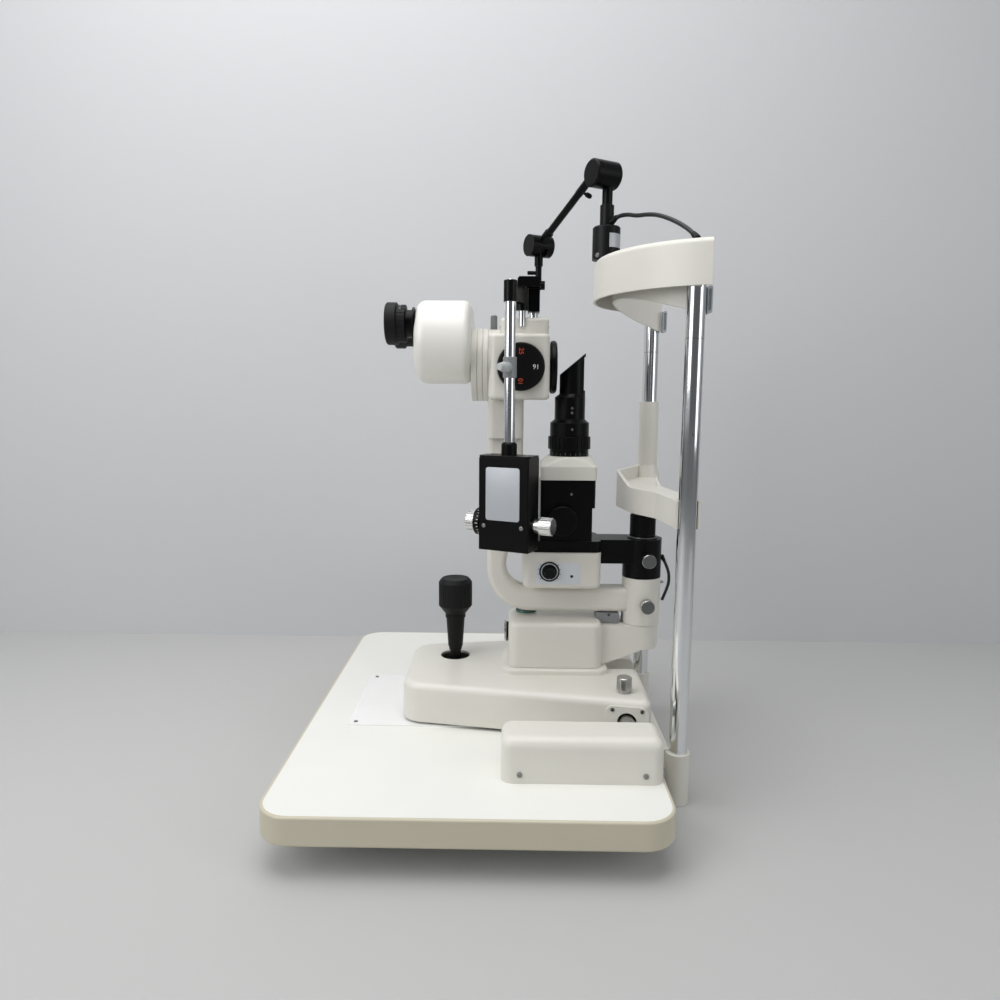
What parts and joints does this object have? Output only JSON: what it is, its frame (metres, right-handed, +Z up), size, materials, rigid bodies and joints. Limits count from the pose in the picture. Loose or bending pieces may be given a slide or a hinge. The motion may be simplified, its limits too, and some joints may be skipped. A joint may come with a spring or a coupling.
{
  "type": "slit lamp",
  "caption": "Slit lamp on a table top: a rolling carriage with joystick carries a swinging microscope and a lamp tower, facing a chin and forehead rest.",
  "frame": {"origin": "centre of the table top's underside, the centre of its column bolts", "axes": "+X from the operator to the patient, +Y to the side away from the tonometer, +Z up"},
  "size_m": [0.4233, 0.53, 0.687],
  "materials": {
    "laminate": "white laminate, satin",
    "edge": "beige edge band, satin",
    "insert": "zinc plated",
    "glide": "white, polished",
    "steel": "ground",
    "chrome": "polished",
    "cream_paint": "cream, satin",
    "cream_plastic": "cream, satin",
    "white_paint": "off-white, satin",
    "black_metal": "black, satin",
    "black_plastic": "black, fine grain",
    "rubber": "black, matte",
    "cable": "black, satin",
    "knob": "knurled, bright",
    "lens": "coated",
    "level": "green-blue, clear cover",
    "clip": "light grey, translucent",
    "prism": "milky clear"
  },
  "bodies": {
    "stand": {"table_panel": "laminate", "table_edge_band": "edge", "column_inserts": "insert", "glide_plate": "glide", "racks": "steel", "rail_cover_near": "cream_plastic", "rail_cover_far": "cream_plastic", "headrest_base": "cream_paint", "headrest_bolts": "insert", "headrest_posts": "chrome", "forehead_frame": "cream_plastic", "forehead_clips": "clip", "fixation_base": "black_plastic", "lamp_cable": "cable"},
    "axle": {"cross_axle": "steel"},
    "pinions": {"pinion_set": "steel"},
    "carriage": {"carriage_cover": "cream_plastic", "carriage_base": "steel", "guide_column": "steel"},
    "carriage_lock": {"carriage_lock_knob": "knob"},
    "gimbal": {"joystick_gimbal": "steel"},
    "stick": {"joystick_stem": "black_plastic"},
    "grip": {"joystick_grip": "rubber"},
    "lift": {"column_cover": "cream_plastic", "lift_arm": "cream_paint", "pivot_shaft": "black_metal", "bubble_level": "level"},
    "microscope": {"microscope_arm": "cream_paint", "magnifier_body": "cream_paint", "top_cover": "cream_paint", "objective_ring": "black_metal", "objective_lens": "lens", "binocular_flange": "cream_paint", "binocular_drum": "white_paint", "tonometer_mount": "black_metal"},
    "microscope_lock": {"microscope_lock_knob": "knob"},
    "dials": {"magnification_dials": "black_plastic"},
    "eye_near": {"eyepiece_near": "black_metal"},
    "eye_far": {"eyepiece_far": "black_metal"},
    "cup_near": {"eyecup_near": "rubber"},
    "cup_far": {"eyecup_far": "rubber"},
    "tonometer": {"tonometer_arm": "black_metal", "tonometer_rod": "chrome", "tonometer_box": "black_metal", "tonometer_prism": "prism"},
    "measuring_drum": {"tonometer_drum": "knob"},
    "illumination": {"illumination_arm": "black_metal", "lamp_box": "cream_paint", "slit_housing": "black_metal", "slit_cap": "cream_paint", "lamp_tower": "black_metal", "illumination_cable": "cable"},
    "illumination_lock": {"illumination_lock_knob": "knob"},
    "aperture": {"aperture_ring": "black_metal"},
    "slit_control": {"slit_knob": "black_plastic"},
    "rheostat": {"rheostat_knob": "black_plastic"},
    "fixation_swivel": {"fixation_stem": "black_metal"},
    "fixation_boom": {"fixation_arm": "black_metal"},
    "fixation_light": {"fixation_lamp": "black_metal"},
    "chin": {"chinrest": "cream_plastic"}
  },
  "joints": [
    {"name": "travel_x", "type": "slide", "parent": "stand", "child": "axle", "axis": [1, 0, 0], "range_m": [-0.105, 0.005]},
    {"name": "pinion_roll", "type": "hinge", "parent": "axle", "child": "pinions", "pos_m": [0.163, 0, 0.053], "axis": [0, 1, 0], "range_deg": [-670, 35]},
    {"name": "travel_y", "type": "slide", "parent": "axle", "child": "carriage", "axis": [0, 1, 0], "range_m": [-0.038, 0.038]},
    {"name": "carriage_lock_turn", "type": "hinge", "parent": "carriage", "child": "carriage_lock", "pos_m": [0.163, -0.088, 0.078], "axis": [0, 0, 1], "range_deg": [-270, 0]},
    {"name": "joystick_tilt_x", "type": "hinge", "parent": "carriage", "child": "gimbal", "pos_m": [-0.03, 0.027, 0.048], "axis": [1, 0, 0], "range_deg": [-12, 12]},
    {"name": "joystick_tilt_y", "type": "hinge", "parent": "gimbal", "child": "stick", "pos_m": [-0.03, 0.027, 0.048], "axis": [0, 1, 0], "range_deg": [-12, 12]},
    {"name": "joystick_turn", "type": "hinge", "parent": "stick", "child": "grip", "pos_m": [-0.03, 0.027, 0.131], "axis": [0, 0, 1], "range_deg": [0, 900]},
    {"name": "lift_travel", "type": "slide", "parent": "carriage", "child": "lift", "axis": [0, 0, 1], "range_m": [0, 0.028]},
    {"name": "microscope_swing", "type": "hinge", "parent": "lift", "child": "microscope", "pos_m": [0.193, 0, 0.128], "axis": [0, 0, 1], "range_deg": [-45, 45]},
    {"name": "illumination_swing", "type": "hinge", "parent": "lift", "child": "illumination", "pos_m": [0.193, 0, 0.188], "axis": [0, 0, 1], "range_deg": [-45, 45]},
    {"name": "microscope_lock_turn", "type": "hinge", "parent": "microscope", "child": "microscope_lock", "pos_m": [0.1957, -0.022, 0.1563], "axis": [0, 1, 0], "range_deg": [0, 270]},
    {"name": "illumination_lock_turn", "type": "hinge", "parent": "illumination", "child": "illumination_lock", "pos_m": [0.1957, -0.022, 0.21], "axis": [0, 1, 0], "range_deg": [0, 270]},
    {"name": "magnification_turn", "type": "hinge", "parent": "microscope", "child": "dials", "pos_m": [0.047, 0, 0.428], "axis": [0, 1, 0], "continuous": true},
    {"name": "pd_near", "type": "slide", "parent": "microscope", "child": "eye_near", "axis": [0, 1, 0], "range_m": [-0.005, 0.004]},
    {"name": "pd_far", "type": "slide", "parent": "microscope", "child": "eye_far", "axis": [0, 1, 0], "range_m": [-0.004, 0.005]},
    {"name": "diopter_near", "type": "hinge", "parent": "eye_near", "child": "cup_near", "pos_m": [-0.09, -0.0315, 0.474], "axis": [1, 0, 0], "range_deg": [-60, 60]},
    {"name": "diopter_far", "type": "hinge", "parent": "eye_far", "child": "cup_far", "pos_m": [-0.09, 0.0315, 0.474], "axis": [1, 0, 0], "range_deg": [-60, 60]},
    {"name": "tonometer_swing", "type": "hinge", "parent": "microscope", "child": "tonometer", "pos_m": [0.048, -0.03, 0.503], "axis": [0, 0, 1], "range_deg": [-20, 40]},
    {"name": "measuring_drum_turn", "type": "hinge", "parent": "tonometer", "child": "measuring_drum", "pos_m": [0.035, -0.068, 0.2585], "axis": [0.9063, -0.4226, 0], "range_deg": [0, 330]},
    {"name": "aperture_turn", "type": "hinge", "parent": "illumination", "child": "aperture", "pos_m": [0.1045, 0, 0.338], "axis": [0, 0, 1], "range_deg": [-150, 150]},
    {"name": "slit_width_turn", "type": "hinge", "parent": "illumination", "child": "slit_control", "pos_m": [0.096, -0.029, 0.256], "axis": [0, 1, 0], "range_deg": [0, 150]},
    {"name": "rheostat_turn", "type": "hinge", "parent": "illumination", "child": "rheostat", "pos_m": [0.082, -0.037, 0.198], "axis": [0, 1, 0], "range_deg": [-10, 270]},
    {"name": "fixation_swivel_turn", "type": "hinge", "parent": "stand", "child": "fixation_swivel", "pos_m": [0.1417, 0, 0.6], "axis": [0, 0, 1], "range_deg": [-30, 50]},
    {"name": "fixation_boom_tilt", "type": "hinge", "parent": "fixation_swivel", "child": "fixation_boom", "pos_m": [0.1417, 0, 0.639], "axis": [0.866, 0.5, 0], "range_deg": [-15, 60]},
    {"name": "fixation_light_tilt", "type": "hinge", "parent": "fixation_boom", "child": "fixation_light", "pos_m": [0.06913, 0.0892, 0.5799], "axis": [0.866, 0.5, 0], "range_deg": [-30, 30]},
    {"name": "chinrest_height", "type": "slide", "parent": "stand", "child": "chin", "axis": [0, 0, 1], "range_m": [0, 0.06]}
  ],
  "couplings": [
    {"joint": "pinion_roll", "follows": "travel_x", "rad_per_m": 111.11},
    {"joint": "joystick_turn", "follows": "lift_travel", "rad_per_m": 560},
    {"joint": "pd_far", "follows": "pd_near", "ratio": -1}
  ]
}
